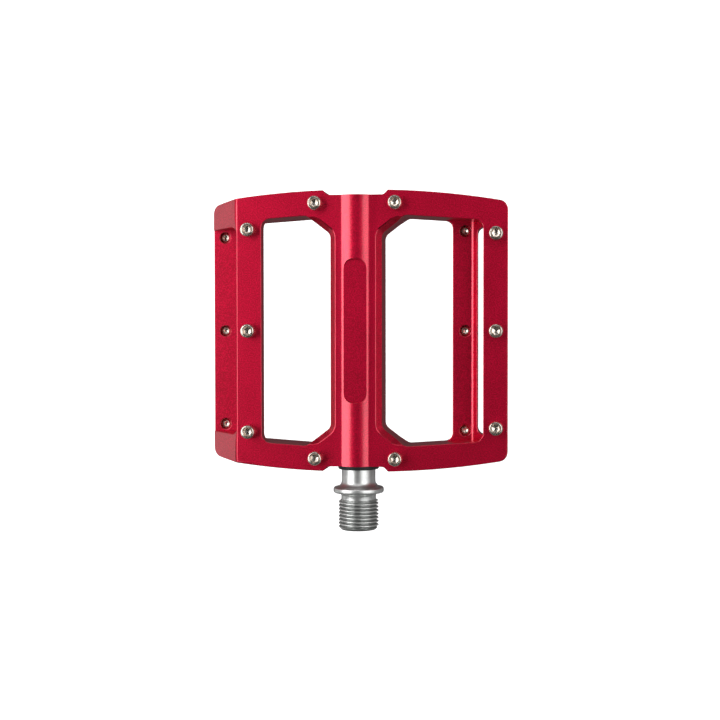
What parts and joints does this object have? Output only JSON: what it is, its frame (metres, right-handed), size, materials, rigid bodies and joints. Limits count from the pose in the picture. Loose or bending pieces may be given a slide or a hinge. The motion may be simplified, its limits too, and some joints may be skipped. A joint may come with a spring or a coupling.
{
  "type": "flat pedal",
  "caption": "Flat bicycle pedal: thin open platform with steel traction pins on both faces, turning on a steel spindle with a bushing and a cartridge bearing.",
  "frame": {"origin": "on the axle's axis, in the plane of the flange that seats on the crank arm", "axes": "+Y outboard along the axle, +Z out of the upper tread face, +X across the platform"},
  "size_m": [0.1064, 0.1199, 0.0224],
  "materials": {
    "red_anodised": "bead-blasted red anodised aluminium",
    "spindle_steel": "satin turned steel",
    "pin_steel": "nickel-plated steel",
    "bearing_steel": "polished bearing steel",
    "bronze": "sintered bronze",
    "black_rubber": "matt black rubber",
    "blue_nylon": "nylon"
  },
  "bodies": {
    "spindle": {"spindle": "spindle_steel", "bearing_inner_race": "bearing_steel", "axle_washer": "spindle_steel", "axle_lock_nut": "bearing_steel", "lock_nut_insert": "blue_nylon"},
    "platform": {"platform": "red_anodised", "lip_seal": "black_rubber", "inboard_bushing": "bronze", "bearing_outer_race": "bearing_steel", "bearing_shield_inboard": "black_rubber", "bearing_shield_outboard": "black_rubber", "bearing_circlip": "pin_steel", "end_cap": "red_anodised", "end_cap_o_ring": "black_rubber", "top_pin_1": "pin_steel", "top_pin_2": "pin_steel", "top_pin_3": "pin_steel", "top_pin_4": "pin_steel", "top_pin_5": "pin_steel", "top_pin_6": "pin_steel", "top_pin_7": "pin_steel", "top_pin_8": "pin_steel", "top_pin_9": "pin_steel", "top_pin_10": "pin_steel", "bottom_pin_1": "pin_steel", "bottom_pin_2": "pin_steel", "bottom_pin_3": "pin_steel", "bottom_pin_4": "pin_steel", "bottom_pin_5": "pin_steel", "bottom_pin_6": "pin_steel", "bottom_pin_7": "pin_steel", "bottom_pin_8": "pin_steel", "bottom_pin_9": "pin_steel", "bottom_pin_10": "pin_steel"},
    "ball_set": {"bearing_balls": "bearing_steel", "bearing_cage": "bronze"}
  },
  "joints": [
    {"name": "platform_spin", "type": "hinge", "parent": "spindle", "child": "platform", "pos_m": [0, 0.0576, 0], "axis": [0, 1, 0], "continuous": true},
    {"name": "ball_set_spin", "type": "hinge", "parent": "spindle", "child": "ball_set", "pos_m": [0, 0.088, 0], "axis": [0, 1, 0], "continuous": true}
  ],
  "couplings": [
    {"joint": "ball_set_spin", "follows": "platform_spin", "ratio": 0.59091}
  ]
}
